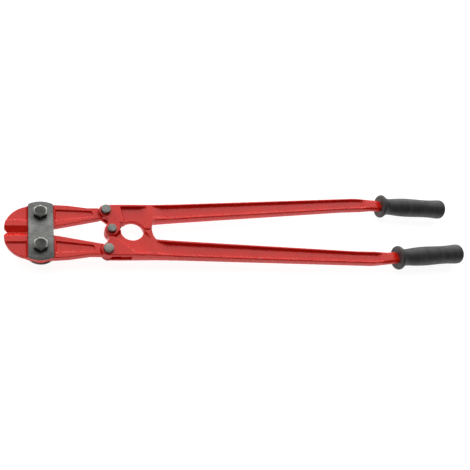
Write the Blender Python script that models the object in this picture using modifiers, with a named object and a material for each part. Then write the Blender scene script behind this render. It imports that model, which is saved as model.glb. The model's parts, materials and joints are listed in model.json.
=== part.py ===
"""Compound bolt cutter lying flat, modelled as separate named solids.

The jaws turn on two bolts between a pair of side plates. Each jaw's tang sits in the slotted head of a
forged arm and turns there on a link pin, and the two arms turn on a centre pivot.

Lengths below are in millimetres in the tool frame: its origin is on the centre pivot at mid thickness, +X
runs along the arms to the grips, and +Z points up out of the front plate. Meshes are scaled to metres.
"""
import math

import bmesh
import bpy
from mathutils import Matrix, Vector

MM = 0.001
GAP = 0.3

# Linkage
LINK_X, LINK_Y = -6.8, 33.5
BOLT_X, BOLT_Y = -100.7, 27.1
OPEN_PIVOT_TRAVEL = 3.1
OPEN_PIVOT_CLEARANCE = 0.7

# Thicknesses, as half thickness each side of the mid plane
HEAD_HALF = 9.0
SLOT_HALF = 4.1
TANG_HALF = 3.8
TAIL_HALF = 5.0
CHEEK_HALF = 3.2
EDGE_STRIP_HALF = 5.6
HUB_HALF = 4.5
PLATE_INNER = HUB_HALF + GAP
PLATE_OUTER = 8.4
HEAD_WEB_HALF = 3.6
BEAM_WEB_HALF = 2.0
TAIL_WEB_HALF = 2.6

# Pivots
LUG_RADIUS = 10.5
LAP_RADIUS = 12.3
HEAD_RADIUS = 10.5
PIN_RADIUS = 4.5
PIN_CLEARANCE = 0.15
LINK_HEAD_RADIUS = 7.3
CENTRE_HEAD_RADIUS = 6.6
PIN_HEAD_HEIGHT = 5.3
PIN_TIP = -17.0
BOLT_RADIUS = 6.0
BOLT_CLEARANCE = 0.2
BOLT_FLATS = 18.6
BOLT_HEAD_HEIGHT = 8.3
BOLT_TIP = -20.5
JAW_WASHER_RADIUS, JAW_WASHER_HEIGHT = 9.6, 2.2
JAW_NUT_HEIGHT = 6.5
PIN_WASHER_RADIUS, PIN_WASHER_HEIGHT = 8.0, 1.2
PIN_NUT_FLATS, PIN_NUT_HEIGHT = 13.0, 5.0
SCREW_RADIUS, SCREW_END = 2.35, 15.6

# Jaws
EDGE_GAP_HALF = 0.15
JAW_ARC_CENTRE = (-112.0, 5.0)
JAW_ARC_RADIUS = 38.0
HUB_RADIUS = 20.6
EDGE_LAND_HALF = 0.5
BEVEL_DEPTH = 8.2
STRIP_DEPTH = 17.8

# Plates, whose crowned ends reach equally far and leave the rear plate's corners lower
PLATE_LEFT, PLATE_RIGHT = -117.4, -82.8
PLATE_END_Y = 48.6
FRONT_CORNER_Y, REAR_CORNER_Y = 44.0, 40.2

# Grips
GRIP_CENTRE = (484.3, 53.0)
GRIP_ANGLE = math.radians(-2.47)
COLLAR_RADIUS = 20.6
GRIP_END, GRIP_END_RADIUS = 129.5, 13.0
MOUTH_FLOOR = -1.2
CORE_WIDTH_HALF, CORE_HEIGHT_HALF, CORE_END = 8.5, 5.2, 110.0

# The ends of the tool, which put the frame's origin under the middle of its length
JAW_TIP_X = JAW_ARC_CENTRE[0] - JAW_ARC_RADIUS
GRIP_TIP_X = GRIP_CENTRE[0] + GRIP_END * math.cos(GRIP_ANGLE) - GRIP_END_RADIUS * math.sin(GRIP_ANGLE)
TOOL_ORIGIN = Vector((-(JAW_TIP_X + GRIP_TIP_X) / 2, 0.0, COLLAR_RADIUS)) * MM

ROUND_STEPS = 24


# ---------------------------------------------------------------- scene and materials
def clear_scene():
    for item in list(bpy.data.objects):
        bpy.data.objects.remove(item, do_unlink=True)


def make_collection(name):
    collection = bpy.data.collections.new(name)
    bpy.context.scene.collection.children.link(collection)
    return collection


def make_material(name, colour, metallic, roughness):
    material = bpy.data.materials.new(name)
    material.use_nodes = True
    shader = material.node_tree.nodes["Principled BSDF"]
    shader.inputs["Base Color"].default_value = (*colour, 1.0)
    shader.inputs["Metallic"].default_value = metallic
    shader.inputs["Roughness"].default_value = roughness
    return material


# ---------------------------------------------------------------- outlines
def arc(centre, radius, start, end, steps=16):
    """Points on a circle from start to end, in degrees, anticlockwise when end is larger."""
    points = []
    for index in range(steps + 1):
        angle = math.radians(start + (end - start) * index / steps)
        points.append((centre[0] + radius * math.cos(angle), centre[1] + radius * math.sin(angle)))
    return points


def circle(centre, radius, steps=ROUND_STEPS):
    return arc(centre, radius, 0.0, 360.0 * (steps - 1) / steps, steps - 1)


def hexagon(centre, flats):
    """A hexagon whose flats face along X."""
    return arc(centre, flats / math.sqrt(3), 30.0, 330.0, 5)


def box_outline(left, right, low, high):
    return [(left, low), (right, low), (right, high), (left, high)]


def rounded(corners, steps=6):
    """A closed outline with each (x, y, radius) corner replaced by its fillet arc."""
    points = []
    count = len(corners)
    for index, (x, y, radius) in enumerate(corners):
        here = Vector((x, y))
        before = Vector(corners[index - 1][:2]) - here
        after = Vector(corners[(index + 1) % count][:2]) - here
        half = before.angle(after) / 2
        if radius == 0 or half > math.radians(89):
            points.append((x, y))
            continue
        reach = radius / math.tan(half)
        centre = here + (before.normalized() + after.normalized()).normalized() * radius / math.sin(half)
        first = here + before.normalized() * reach - centre
        last = here + after.normalized() * reach - centre
        turn = math.atan2(first.cross(last), first.dot(last))
        for step in range(steps + 1):
            spoke = Matrix.Rotation(turn * step / steps, 2) @ first
            points.append(tuple(centre + spoke))
    return points


def grip_point(along, across):
    """A point beside the upper grip's axis, along it from the collar and across it outwards."""
    c, s = math.cos(GRIP_ANGLE), math.sin(GRIP_ANGLE)
    return (GRIP_CENTRE[0] + along * c - across * s, GRIP_CENTRE[1] + along * s + across * c)


# ---------------------------------------------------------------- solids
def link_object(name, mesh, collection):
    item = bpy.data.objects.new(name, mesh)
    collection.objects.link(item)
    return item


def prism(name, outline, low, high, collection, holes=()):
    """A flat outline with optional holes, extruded from z = low to z = high."""
    curve = bpy.data.curves.new(name, "CURVE")
    curve.dimensions = "2D"
    curve.fill_mode = "BOTH"
    curve.extrude = (high - low) / 2 * MM
    for loop in (outline, *holes):
        spline = curve.splines.new("POLY")
        spline.points.add(len(loop) - 1)
        for point, (x, y) in zip(spline.points, loop):
            point.co = (x * MM, y * MM, 0.0, 1.0)
        spline.use_cyclic_u = True
    flat = link_object(name, curve, collection)
    flat.location.z = (low + high) / 2 * MM
    bpy.context.view_layer.update()
    graph = bpy.context.evaluated_depsgraph_get()
    mesh = bpy.data.meshes.new_from_object(flat.evaluated_get(graph))
    mesh.transform(flat.matrix_world)
    bpy.data.objects.remove(flat, do_unlink=True)
    bpy.data.curves.remove(curve)
    editor = bmesh.new()
    editor.from_mesh(mesh)
    bmesh.ops.remove_doubles(editor, verts=editor.verts, dist=1e-6)
    bmesh.ops.recalc_face_normals(editor, faces=editor.faces)
    editor.to_mesh(mesh)
    editor.free()
    return link_object(name, mesh, collection)


def side_prism(name, outline, low, high, collection):
    """An outline drawn in X and Z, extruded along Y from low to high."""
    item = prism(name, outline, -high, -low, collection)
    item.data.transform(Matrix.Rotation(math.radians(90), 4, "X"))
    return item


def turned(name, profile, collection, closed=False, steps=ROUND_STEPS):
    """A profile of (radius, z) points, top to bottom on its outer side, screwed round the Z axis."""
    mesh = bpy.data.meshes.new(name)
    count = len(profile)
    edges = [(index, index + 1) for index in range(count - 1)]
    if closed:
        edges.append((count - 1, 0))
    mesh.from_pydata([(r * MM, 0.0, z * MM) for r, z in profile], edges, [])
    item = link_object(name, mesh, collection)
    screw = item.modifiers.new("turn", "SCREW")
    screw.steps = steps
    screw.render_steps = steps
    screw.use_merge_vertices = True
    screw.merge_threshold = 1e-6
    screw.use_normal_calculate = False
    return item


def boolean(target, tool, operation, cutters):
    """Adds an exact Boolean, and files its tool as a cutter."""
    modifier = target.modifiers.new(operation.lower(), "BOOLEAN")
    modifier.operation = operation
    modifier.solver = "EXACT"
    modifier.object = tool
    if tool.name not in cutters.objects:
        for collection in tool.users_collection:
            collection.objects.unlink(tool)
        cutters.objects.link(tool)
    tool.location = TOOL_ORIGIN
    tool.hide_render = True
    tool.display_type = "WIRE"


def apply_modifiers(item):
    """Turns an object's modifiers into its own mesh, cut where it stands."""
    bpy.context.view_layer.update()
    graph = bpy.context.evaluated_depsgraph_get()
    mesh = bpy.data.meshes.new_from_object(item.evaluated_get(graph))
    item.modifiers.clear()
    item.data = mesh


def finish(item, material, axis):
    """Gives an object its material and hangs it on its body's axis."""
    item.data.materials.clear()
    item.data.materials.append(material)
    item.data.shade_smooth()
    item.data.set_sharp_from_angle(angle=math.radians(35))
    item.parent = axis
    item.location = TOOL_ORIGIN - axis.location
    return item


def turn_over(item):
    """Turns a mesh half a turn about the X axis, as the second forging is."""
    item.data.transform(Matrix.Rotation(math.radians(180), 4, "X"))


# ---------------------------------------------------------------- arms
def arm_outline(notched):
    link = (LINK_X, LINK_Y)
    points = arc(link, HEAD_RADIUS, 90.0, 235.0, 10)
    points += rounded([(-12.8, 24.9, 0), (-4.4, 17.2, 5.0), (-6.2, 8.5, 0)])[1:-1]
    points += arc((0.0, 0.0), LUG_RADIUS, 127.0, 345.0, 18)
    if notched:
        points += [(11.9, 0.4), (13.2, 1.2), (13.2, 11.4), (18.7, 11.4)]
        eye_start = 134.0
    else:
        points += [(11.9, 0.4), (13.2, 0.6)]
        eye_start = 172.0
    points += arc((31.0, -1.4), 17.6, eye_start, 6.5, 16)
    points += rounded([(49.5, EDGE_GAP_HALF, 0), (60.4, EDGE_GAP_HALF, 1.2), (61.6, 9.5, 6.0),
                       (65.2, 16.8, 4.0), (404.0, 41.6, 90.0), (*grip_point(-22.0, -10.2), 30.0),
                       (*grip_point(-3.6, -9.8), 0.8), (*grip_point(-2.4, -CORE_WIDTH_HALF), 0.8),
                       (*grip_point(CORE_END, -CORE_WIDTH_HALF), 1.0),
                       (*grip_point(CORE_END, CORE_WIDTH_HALF), 1.0),
                       (*grip_point(-2.4, CORE_WIDTH_HALF), 0.8), (*grip_point(-3.6, 9.8), 0.8),
                       (*grip_point(-22.0, 10.4), 30.0), (430.0, 65.6, 60.0),
                       (60.0, 45.2, 80.0), (LINK_X, LINK_Y + HEAD_RADIUS, 0)])[:-1]
    return points


def arm_side():
    """Half thickness along the arm, mirrored to both sides of the mid plane."""
    top = [(-40.0, HEAD_HALF), (36.0, HEAD_HALF), (62.0, 8.2), (100.0, 7.0), (300.0, 6.2), (476.0, 5.8),
           (480.4, CORE_HEIGHT_HALF), (640.0, CORE_HEIGHT_HALF)]
    bottom = [(x, -z) for x, z in reversed(top)]
    return bottom + top


def beam_pocket():
    """The long recess between the arm's two flanges."""
    return rounded([(67.0, 20.6, 5.0), (404.0, 44.6, 60.0), (452.0, 46.8, 7.0), (452.0, 61.8, 7.0),
                    (430.0, 62.4, 30.0), (67.0, 42.6, 4.0)])


def head_pocket_front():
    return rounded([(14.6, 40.6, 3.0), (17.0, 28.0, 8.0), (20.2, 8.0, 0), (50.0, -8.0, 0),
                    (50.0, 4.0, 3.0), (57.0, 14.0, 6.0), (57.0, 40.8, 4.0)])


def head_pocket_back():
    return rounded([(5.0, 15.0, 1.5), (2.0, 11.8, 0), (9.0, 4.0, 0), (50.0, -8.0, 0), (50.0, 4.0, 3.0),
                    (57.0, 14.0, 6.0), (57.0, 40.8, 4.0), (32.0, 39.8, 6.0), (20.0, 27.0, 10.0)])


def head_slot():
    """The slot that the jaw's tang turns in, with a shallow run-out along the arm's outer edge."""
    return rounded([(-30.0, 16.0, 0), (3.0, 16.0, 0), (12.0, 25.0, 4.0), (12.0, 41.5, 0), (27.0, 41.7, 0),
                    (27.0, 60.0, 0), (-30.0, 60.0, 0)])


def make_arm(name, notched, parts, cutters):
    """An arm in the upper position, with its centre lug in the front half."""
    arm = prism(name, arm_outline(notched), -12.0, 12.0, parts)
    side = side_prism(name + "_thickness", arm_side(), -20.0, 90.0, cutters)
    boolean(arm, side, "INTERSECT", cutters)
    reach = 15.0
    cuts = []
    for face, pocket in (("front", head_pocket_front()), ("back", head_pocket_back())):
        sign = 1 if face == "front" else -1
        for label, outline, web in (("head", pocket, HEAD_WEB_HALF), ("beam", beam_pocket(), BEAM_WEB_HALF)):
            low, high = sorted((sign * web, sign * reach))
            cuts.append(prism(f"{name}_{label}_{face}", outline, low, high, cutters))
    lap = circle((0.0, 0.0), LAP_RADIUS)
    cuts.append(prism(name + "_lap", lap, -reach, EDGE_GAP_HALF, cutters))
    cuts.append(prism(name + "_slot", head_slot(), -SLOT_HALF, SLOT_HALF, cutters))
    for label, centre in (("link_bore", (LINK_X, LINK_Y)), ("pivot_bore", (0.0, 0.0))):
        bore = circle(centre, PIN_RADIUS + PIN_CLEARANCE)
        cuts.append(prism(f"{name}_{label}", bore, -reach, reach, cutters))
    if notched:
        bore = SCREW_RADIUS + GAP
        profile = [(0.0, 17.0), (bore, 17.0), (bore, 2.0), (0.0, 2.0)]
        screw_bore = turned(name + "_screw_bore", profile, cutters)
        apply_modifiers(screw_bore)
        screw_bore.data.transform(lock_screw_frame())
        cuts.append(screw_bore)
    for tool in cuts:
        boolean(arm, tool, "DIFFERENCE", cutters)
    arm.location = TOOL_ORIGIN
    apply_modifiers(arm)
    return arm


def lock_screw_frame():
    """The lock screw's axis: out from the centre pivot towards the eye, half way up the front lug."""
    direction = Matrix.Rotation(math.radians(26.0), 4, "Z") @ Matrix.Rotation(math.radians(90), 4, "Y")
    return Matrix.Translation(Vector((0.0, 0.0, 5.0)) * MM) @ direction


# ---------------------------------------------------------------- jaws
def jaw_outline():
    """The upper jaw: blade, eye round its bolt, and a tail that narrows to a tang round its link pin."""
    points = arc(JAW_ARC_CENTRE, JAW_ARC_RADIUS, 104.0, 178.0, 12)
    points += rounded([(-149.0, 3.4, 0), (-145.8, EDGE_GAP_HALF, 2.0), (-106.0, EDGE_GAP_HALF, 8.0),
                       (-80.0, 7.8, 4.0), (-13.0, 22.4, 0)])[1:]
    points += arc((LINK_X, LINK_Y), HEAD_RADIUS - 0.7, -118.0, 138.0, 14)
    points += rounded([(-17.0, 39.2, 0), (-33.0, 39.6, 20.0), (-62.0, 43.8, 20.0), (-82.0, 44.7, 0)])[1:]
    points += arc((BOLT_X, BOLT_Y), HUB_RADIUS, 62.0, 118.0, 8)
    return points


def tail_pocket():
    return rounded([(-80.2, 17.4, 0.8), (-26.0, 24.6, 4.5), (-26.0, 34.2, 4.5), (-80.2, 36.2, 0.8)])


def bevel_side(sign):
    """The wedge cut that leaves one bevel of the blade, drawn in Y and Z."""
    outer = 12.0 * sign
    return [(-3.0, EDGE_LAND_HALF * sign), (EDGE_GAP_HALF, EDGE_LAND_HALF * sign),
            (BEVEL_DEPTH, EDGE_STRIP_HALF * sign), (BEVEL_DEPTH, outer), (-3.0, outer)]


def make_jaw(name, open_pivot, parts, cutters):
    """A jaw in the upper position. The open pivot's bore is a slot that the link pin can wander in."""
    jaw = prism(name, jaw_outline(), -EDGE_STRIP_HALF, EDGE_STRIP_HALF, parts)
    reach = 10.0
    cuts = []
    hub = [(-118.6, -6.0), (-77.4, -6.0), (-81.6, BOLT_Y), (-81.6, 60.0), (-118.6, 60.0)]
    tail = box_outline(-100.0, 20.0, -6.0, 60.0)
    outer_blade = [(-160.0, STRIP_DEPTH), (-118.6, STRIP_DEPTH), (-118.6, 60.0), (-160.0, 60.0)]
    knuckle = circle((LINK_X, LINK_Y), HEAD_RADIUS + 1.4)
    if open_pivot:
        knuckle = open_pivot_outline(HEAD_RADIUS + 1.4)
    for face, sign in (("front", 1), ("back", -1)):
        levels = (("hub", hub, HUB_HALF), ("cheek", outer_blade, CHEEK_HALF), ("tail", tail, TAIL_HALF),
                  ("tang", knuckle, TANG_HALF), ("pocket", tail_pocket(), TAIL_WEB_HALF))
        for label, outline, level in levels:
            low, high = sorted((sign * level, sign * reach))
            cuts.append(prism(f"{name}_{label}_{face}", outline, low, high, cutters))
        wedge = bevel_side(sign)
        bevel = prism(f"{name}_bevel_{face}", wedge, -160.0, -108.0, cutters)
        bevel.data.transform(Matrix(((0, 0, 1, 0), (1, 0, 0, 0), (0, 1, 0, 0), (0, 0, 0, 1))))
        cuts.append(bevel)
    cuts.append(prism(name + "_bolt_bore", circle((BOLT_X, BOLT_Y), BOLT_RADIUS + BOLT_CLEARANCE),
                      -reach, reach, cutters))
    bore = circle((LINK_X, LINK_Y), PIN_RADIUS + PIN_CLEARANCE)
    if open_pivot:
        bore = open_pivot_outline(PIN_RADIUS + OPEN_PIVOT_CLEARANCE)
    cuts.append(prism(name + "_link_bore", bore, -reach, reach, cutters))
    for tool in cuts:
        boolean(jaw, tool, "DIFFERENCE", cutters)
    jaw.location = TOOL_ORIGIN
    apply_modifiers(jaw)
    return jaw


def open_pivot_outline(radius):
    """A round-ended slot along Y: a circle swept over the link pin's travel in the upper jaw."""
    upper_end = arc((LINK_X, LINK_Y + OPEN_PIVOT_TRAVEL), radius, 0.0, 180.0, 16)
    lower_end = arc((LINK_X, LINK_Y - OPEN_PIVOT_TRAVEL), radius, 180.0, 360.0, 16)
    return upper_end + lower_end


# ---------------------------------------------------------------- plates and fasteners
def make_plate(name, corner_y, low, high, parts, cutters):
    middle = (PLATE_LEFT + PLATE_RIGHT) / 2
    half = (PLATE_RIGHT - PLATE_LEFT) / 2
    crown = PLATE_END_Y - corner_y
    radius = (half ** 2 + crown ** 2) / (2 * crown)
    spread = math.degrees(math.asin(half / radius))
    top_centre = (middle, PLATE_END_Y - radius)
    bottom_centre = (middle, -top_centre[1])
    outline = arc(top_centre, radius, 90 - spread, 90 + spread, 10)
    outline += arc(bottom_centre, radius, 270 - spread, 270 + spread, 10)
    plate = prism(name, outline, low, high, parts)
    chamfer = plate.modifiers.new("chamfer", "BEVEL")
    chamfer.width = 0.6 * MM
    chamfer.segments = 1
    chamfer.limit_method = "ANGLE"
    chamfer.angle_limit = math.radians(60)
    for label, side in (("upper", 1), ("lower", -1)):
        bore = prism(f"{name}_{label}_bore", circle((BOLT_X, side * BOLT_Y), BOLT_RADIUS + BOLT_CLEARANCE),
                     low - 3, high + 3, cutters)
        boolean(plate, bore, "DIFFERENCE", cutters)
    return plate


def hex_blank(name, flats, low, high, bore, parts, cutters, chamfer_faces):
    """A hexagon prism with turned corners, and a bore when bore is above 0."""
    holes = [circle((0.0, 0.0), bore)] if bore else []
    blank = prism(name, hexagon((0.0, 0.0), flats), low, high, parts, holes)
    corner = flats / math.sqrt(3)
    drop = (corner - flats / 2 + 0.9) * math.tan(math.radians(30))
    rim = corner + 0.3
    top_inner = flats / 2 - 0.9
    profile = [(0.0, high + 0.001), (top_inner, high + 0.001), (rim, high - drop)]
    if chamfer_faces == 2:
        profile += [(rim, low + drop), (top_inner, low - 0.001), (0.0, low - 0.001)]
    else:
        profile += [(rim, low - 0.001), (0.0, low - 0.001)]
    cone = turned(name + "_cone", profile, cutters)
    boolean(blank, cone, "INTERSECT", cutters)
    return blank


def move_mesh(item, x, y):
    """Applies an object's modifiers and shifts its mesh in the tool frame."""
    item.location = TOOL_ORIGIN
    apply_modifiers(item)
    item.data.transform(Matrix.Translation(Vector((x, y, 0.0)) * MM))


def make_jaw_bolt(name, y, parts, cutters):
    bottom = PLATE_OUTER + GAP
    bolt = hex_blank(name, BOLT_FLATS, bottom, bottom + BOLT_HEAD_HEIGHT, 0, parts, cutters, 1)
    profile = [(0.0, bottom + 1.0), (BOLT_RADIUS, bottom + 1.0), (BOLT_RADIUS, BOLT_TIP + 1.0),
               (BOLT_RADIUS - 1.0, BOLT_TIP), (0.0, BOLT_TIP)]
    shank = turned(name + "_shank", profile, cutters)
    boolean(bolt, shank, "UNION", cutters)
    move_mesh(bolt, BOLT_X, y)
    return bolt


def make_nut(name, x, y, flats, top, height, bore, parts, cutters):
    nut = hex_blank(name, flats, top - height, top, bore, parts, cutters, 2)
    move_mesh(nut, x, y)
    return nut


def make_ring(name, x, y, inner, outer, low, high, parts):
    ring = turned(name, [(inner, high), (outer, high), (outer, low), (inner, low)], parts, closed=True)
    apply_modifiers(ring)
    ring.data.transform(Matrix.Translation(Vector((x, y, 0.0)) * MM))
    return ring


def make_pin(name, x, y, head_radius, parts):
    """A round-headed pin with a low crown, its shank running down through both arm cheeks."""
    low = HEAD_HALF + GAP
    high = low + PIN_HEAD_HEIGHT
    profile = [(0.0, high), (head_radius - 1.8, high - 0.1), (head_radius - 0.5, high - 0.6),
               (head_radius, high - 1.6), (head_radius, low), (PIN_RADIUS, low), (PIN_RADIUS, PIN_TIP + 0.8),
               (PIN_RADIUS - 0.8, PIN_TIP), (0.0, PIN_TIP)]
    pin = turned(name, profile, parts)
    apply_modifiers(pin)
    pin.data.transform(Matrix.Translation(Vector((x, y, 0.0)) * MM))
    return pin


def make_lock_screw(name, parts, cutters):
    """A small cup-point screw with a hexagon socket in its outer end."""
    inner, outer, radius = PIN_RADIUS + 0.5, SCREW_END, SCREW_RADIUS
    profile = [(0.0, outer), (radius - 0.5, outer), (radius, outer - 0.5), (radius, inner + 0.8),
               (radius - 0.8, inner), (0.0, inner)]
    screw = turned(name, profile, parts)
    socket = prism(name + "_socket", hexagon((0.0, 0.0), 2.5), outer - 2.5, outer + 1.0, cutters)
    boolean(screw, socket, "DIFFERENCE", cutters)
    screw.location = TOOL_ORIGIN
    apply_modifiers(screw)
    screw.data.transform(lock_screw_frame())
    return screw


# ---------------------------------------------------------------- grips
def grip_profile():
    """Radius along the grip: flared collar, neck, swelling barrel and flared end."""
    stations = [(-3.0, 17.6), (-2.6, 19.2), (-1.2, 20.3), (0.4, 20.6), (2.2, 20.2), (3.6, 19.0), (6.0, 17.2),
                (10.0, 15.3), (15.0, 14.5), (22.0, 14.8), (35.0, 16.0), (52.0, 16.7), (70.0, 16.5),
                (88.0, 16.0), (104.0, 16.2), (116.0, 17.0), (123.0, 17.3), (126.6, 16.9), (128.7, 15.5),
                (GRIP_END, GRIP_END_RADIUS)]
    mouth = [(-2.7, 15.5), (MOUTH_FLOOR, 11.5), (MOUTH_FLOOR, 0.0)]
    outline = [(GRIP_END, 0.0)] + stations[::-1] + mouth
    return [(radius, along) for along, radius in outline]


def make_grip(name, parts, cutters):
    """The upper grip: a turned rubber body with a flat cavity that fits the arm's core."""
    grip = turned(name, grip_profile(), parts)
    apply_modifiers(grip)
    cavity = prism(name + "_cavity", box_outline(-CORE_WIDTH_HALF - GAP, CORE_WIDTH_HALF + GAP,
                                                 -CORE_HEIGHT_HALF - GAP, CORE_HEIGHT_HALF + GAP),
                   MOUTH_FLOOR - 5.0, CORE_END + GAP, cutters)
    cavity.data.transform(Matrix.Rotation(math.radians(90), 4, "Z"))
    boolean(grip, cavity, "DIFFERENCE", cutters)
    grip.location = TOOL_ORIGIN
    apply_modifiers(grip)
    upright = Matrix.Rotation(math.radians(90), 4, "Y")
    turn = Matrix.Rotation(GRIP_ANGLE, 4, "Z")
    shift = Matrix.Translation(Vector((*GRIP_CENTRE, 0.0)) * MM)
    grip.data.transform(shift @ turn @ upright)
    return grip


# ---------------------------------------------------------------- assembly
def make_axis(name, x, y, collection):
    """An empty on a pivot axis, which everything that turns there hangs from."""
    axis = bpy.data.objects.new(name, None)
    axis.location = TOOL_ORIGIN + Vector((x, y, 0.0)) * MM
    axis.empty_display_size = 0.02
    collection.objects.link(axis)
    return axis


def main():
    clear_scene()
    parts = make_collection("bolt_cutter")
    cutters = make_collection("cutters")
    red = make_material("red_enamel", (0.60, 0.035, 0.025), 0.0, 0.35)
    steel = make_material("grey_steel", (0.16, 0.165, 0.16), 0.8, 0.45)
    dark = make_material("dark_steel", (0.06, 0.06, 0.06), 0.8, 0.4)
    rubber = make_material("black_rubber", (0.035, 0.035, 0.036), 0.0, 0.8)

    lower_axis = make_axis("lower_arm_axis", 0.0, 0.0, parts)
    upper_axis = make_axis("upper_arm_axis", 0.0, 0.0, parts)
    lower_jaw_axis = make_axis("lower_jaw_axis", LINK_X, -LINK_Y, parts)
    plates_axis = make_axis("plates_axis", BOLT_X, -BOLT_Y, parts)
    upper_jaw_axis = make_axis("upper_jaw_axis", BOLT_X, BOLT_Y, parts)

    finish(make_arm("upper_arm", True, parts, cutters), red, upper_axis)
    lower_arm = make_arm("lower_arm", False, parts, cutters)
    turn_over(lower_arm)
    finish(lower_arm, red, lower_axis)
    finish(make_jaw("upper_jaw", True, parts, cutters), red, upper_jaw_axis)
    lower_jaw = make_jaw("lower_jaw", False, parts, cutters)
    turn_over(lower_jaw)
    finish(lower_jaw, red, lower_jaw_axis)
    front_plate = make_plate("front_plate", FRONT_CORNER_Y, PLATE_INNER, PLATE_OUTER, parts, cutters)
    finish(front_plate, steel, plates_axis)
    rear_plate = make_plate("rear_plate", REAR_CORNER_Y, -PLATE_OUTER, -PLATE_INNER, parts, cutters)
    finish(rear_plate, steel, plates_axis)

    washer_top = -PLATE_OUTER - GAP
    washer_low = washer_top - JAW_WASHER_HEIGHT
    for side, label in ((1, "upper"), (-1, "lower")):
        y = side * BOLT_Y
        finish(make_jaw_bolt(f"{label}_jaw_bolt", y, parts, cutters), dark, plates_axis)
        washer = make_ring(f"{label}_jaw_washer", BOLT_X, y, BOLT_RADIUS + GAP, JAW_WASHER_RADIUS,
                           washer_low, washer_top, parts)
        finish(washer, dark, plates_axis)
        nut = make_nut(f"{label}_jaw_nut", BOLT_X, y, BOLT_FLATS, washer_low - GAP, JAW_NUT_HEIGHT,
                       BOLT_RADIUS + GAP, parts, cutters)
        finish(nut, dark, plates_axis)

    pins = (("upper_link", LINK_X, LINK_Y, LINK_HEAD_RADIUS, upper_axis),
            ("lower_link", LINK_X, -LINK_Y, LINK_HEAD_RADIUS, lower_axis),
            ("centre_pivot", 0.0, 0.0, CENTRE_HEAD_RADIUS, lower_axis))
    washer_top = -HEAD_HALF - GAP
    washer_low = washer_top - PIN_WASHER_HEIGHT
    for label, x, y, head_radius, axis in pins:
        finish(make_pin(label + "_pin", x, y, head_radius, parts), steel, axis)
        washer = make_ring(label + "_washer", x, y, PIN_RADIUS + GAP, PIN_WASHER_RADIUS,
                           washer_low, washer_top, parts)
        finish(washer, dark, axis)
        nut = make_nut(label + "_nut", x, y, PIN_NUT_FLATS, washer_low - GAP, PIN_NUT_HEIGHT,
                       PIN_RADIUS + GAP, parts, cutters)
        finish(nut, dark, axis)
    finish(make_lock_screw("pivot_lock_screw", parts, cutters), dark, upper_axis)

    finish(make_grip("upper_grip", parts, cutters), rubber, upper_axis)
    lower_grip = make_grip("lower_grip", parts, cutters)
    turn_over(lower_grip)
    finish(lower_grip, rubber, lower_axis)


main()
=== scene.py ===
"""The look of a compound bolt cutter: forged arms and jaws, plates, fasteners and rubber grips.

Each detailed piece is made in the tool frame, in millimetres, with its origin on the centre pivot at mid
thickness, +X towards the grips and +Z up. Pieces that repeat below are the upper part turned over about X.
"""

import json
import math

import bpy
import numpy as np
from mathutils import Matrix, Vector


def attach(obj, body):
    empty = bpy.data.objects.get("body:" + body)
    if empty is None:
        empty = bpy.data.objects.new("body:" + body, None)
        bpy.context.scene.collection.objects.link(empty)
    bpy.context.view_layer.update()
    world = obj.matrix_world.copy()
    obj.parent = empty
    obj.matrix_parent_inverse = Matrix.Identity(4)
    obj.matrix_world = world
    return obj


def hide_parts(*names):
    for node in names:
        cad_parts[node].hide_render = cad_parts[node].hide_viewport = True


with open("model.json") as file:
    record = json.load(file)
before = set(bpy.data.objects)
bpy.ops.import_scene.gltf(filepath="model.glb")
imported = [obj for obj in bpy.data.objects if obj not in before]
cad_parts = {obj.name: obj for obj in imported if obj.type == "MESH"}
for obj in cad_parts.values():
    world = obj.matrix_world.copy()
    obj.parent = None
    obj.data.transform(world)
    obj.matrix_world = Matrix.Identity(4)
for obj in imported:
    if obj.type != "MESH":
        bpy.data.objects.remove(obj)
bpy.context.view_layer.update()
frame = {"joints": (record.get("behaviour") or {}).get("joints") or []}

MM = 0.001
PIVOTS = {joint["name"]: Vector(joint["pos_m"]) for joint in frame["joints"]}
TOOL = PIVOTS["arms_open"]


def in_tool(point):
    """A point of the row frame as millimetres in the tool frame."""
    return (point - TOOL) / MM


# Linkage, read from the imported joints
LINK_X, LINK_Y = in_tool(PIVOTS["lower_jaw_link"]).x, -in_tool(PIVOTS["lower_jaw_link"]).y
BOLT_X, BOLT_Y = in_tool(PIVOTS["upper_jaw_turn"]).xy

# Thicknesses, as half thickness each side of the mid plane
HEAD_HALF = 9.0
SLOT_HALF = 4.1
TANG_HALF = 3.8
TAIL_HALF = 5.0
CHEEK_HALF = 3.2
EDGE_STRIP_HALF = 5.6
HUB_HALF = 4.5
PLATE_INNER, PLATE_OUTER = 4.8, 8.4
HEAD_WEB_HALF = 3.6
BEAM_WEB_HALF = 2.0
TAIL_WEB_HALF = 2.6

# Jaws, arms and grips; LINK_PLAY is how far the upper link pin slides in its jaw as the tool opens
EDGE_GAP_HALF = 0.15
HEAD_RADIUS = LUG_RADIUS = 10.5
LAP_RADIUS = 11.3
HUB_RADIUS = 20.6
PIN_BORE, BOLT_BORE = 4.8, 6.3
LINK_PLAY = 3.1
BEVEL_DEPTH, STRIP_DEPTH = 8.2, 17.8
PLATE_LEFT, PLATE_RIGHT = -117.4, -82.8
PLATE_END_Y = 48.6
FRONT_CORNER_Y, REAR_CORNER_Y = 44.0, 40.2
GRIP_CENTRE = (484.3, 53.0)
GRIP_ANGLE = math.radians(-2.47)
GRIP_END = 129.5
MOUTH_FLOOR = -1.2
CORE_WIDTH_HALF, CORE_HEIGHT_HALF, CORE_END = 8.5, 5.2, 110.0

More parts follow.
